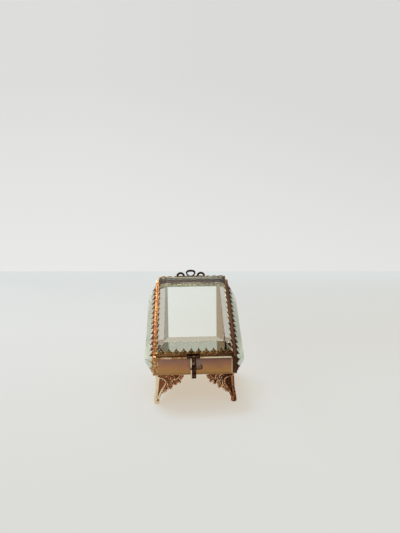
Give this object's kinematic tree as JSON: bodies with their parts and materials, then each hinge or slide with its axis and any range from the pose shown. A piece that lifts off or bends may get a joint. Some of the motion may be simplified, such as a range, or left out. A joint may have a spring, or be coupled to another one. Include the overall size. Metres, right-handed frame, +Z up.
{
  "type": "glass casket box",
  "caption": "Small slant-front keepsake casket with bevelled glass walls in toothed gilt strips, a hinged glass lid, a metal front band with hasp and hook, and pierced corner feet",
  "frame": {"origin": "On the floor, under the middle of the casket's bounding box, with the lid shut", "axes": "+Z up, +Y from the low front band to the tall back wall, +X to the right seen from the front"},
  "size_m": [0.0656, 0.0644, 0.0805],
  "materials": {
    "patinated_gilt_brass": "satin, patinated",
    "satin_brass_band": "satin",
    "bevelled_glass": "polished",
    "dark_bronze": "dark bronze patina"
  },
  "bodies": {
    "casket": {"base_plate": "satin_brass_band", "front_band": "satin_brass_band", "front_top_rail": "patinated_gilt_brass", "back_bottom_rail": "patinated_gilt_brass", "back_top_rail": "patinated_gilt_brass", "back_glass": "bevelled_glass", "body_knuckles": "patinated_gilt_brass", "hinge_pins": "dark_bronze", "latch_stud": "dark_bronze", "front_left_post": "patinated_gilt_brass", "front_right_post": "patinated_gilt_brass", "back_left_post": "patinated_gilt_brass", "back_right_post": "patinated_gilt_brass", "left_bottom_rail": "patinated_gilt_brass", "right_bottom_rail": "patinated_gilt_brass", "left_top_rail": "patinated_gilt_brass", "right_top_rail": "patinated_gilt_brass", "left_glass": "bevelled_glass", "right_glass": "bevelled_glass", "front_left_foot": "patinated_gilt_brass", "front_right_foot": "patinated_gilt_brass", "back_left_foot": "patinated_gilt_brass", "back_right_foot": "patinated_gilt_brass"},
    "lid": {"lid_front_rail": "patinated_gilt_brass", "lid_back_rail": "patinated_gilt_brass", "lid_left_rail": "patinated_gilt_brass", "lid_right_rail": "patinated_gilt_brass", "lid_glass": "bevelled_glass", "lid_knuckles": "patinated_gilt_brass", "crest": "dark_bronze", "hasp_lid_knuckles": "dark_bronze", "hasp_pin": "dark_bronze"},
    "hasp": {"hasp": "dark_bronze", "hook_rivet": "dark_bronze"},
    "hook": {"hook": "dark_bronze"}
  },
  "joints": [
    {"name": "lid_hinge", "type": "hinge", "parent": "casket", "child": "lid", "pos_m": [0, 0.0279, 0.07235], "axis": [-1, 0, 0], "range_deg": [0, 128]},
    {"name": "hasp_hinge", "type": "hinge", "parent": "lid", "child": "hasp", "pos_m": [-0.0011, -0.03105, 0.03172], "axis": [-1, 0, 0], "range_deg": [0, 150]},
    {"name": "hook_turn", "type": "hinge", "parent": "hasp", "child": "hook", "pos_m": [-0.0011, -0.0312, 0.02462], "axis": [0, -1, 0], "range_deg": [0, 90]}
  ]
}
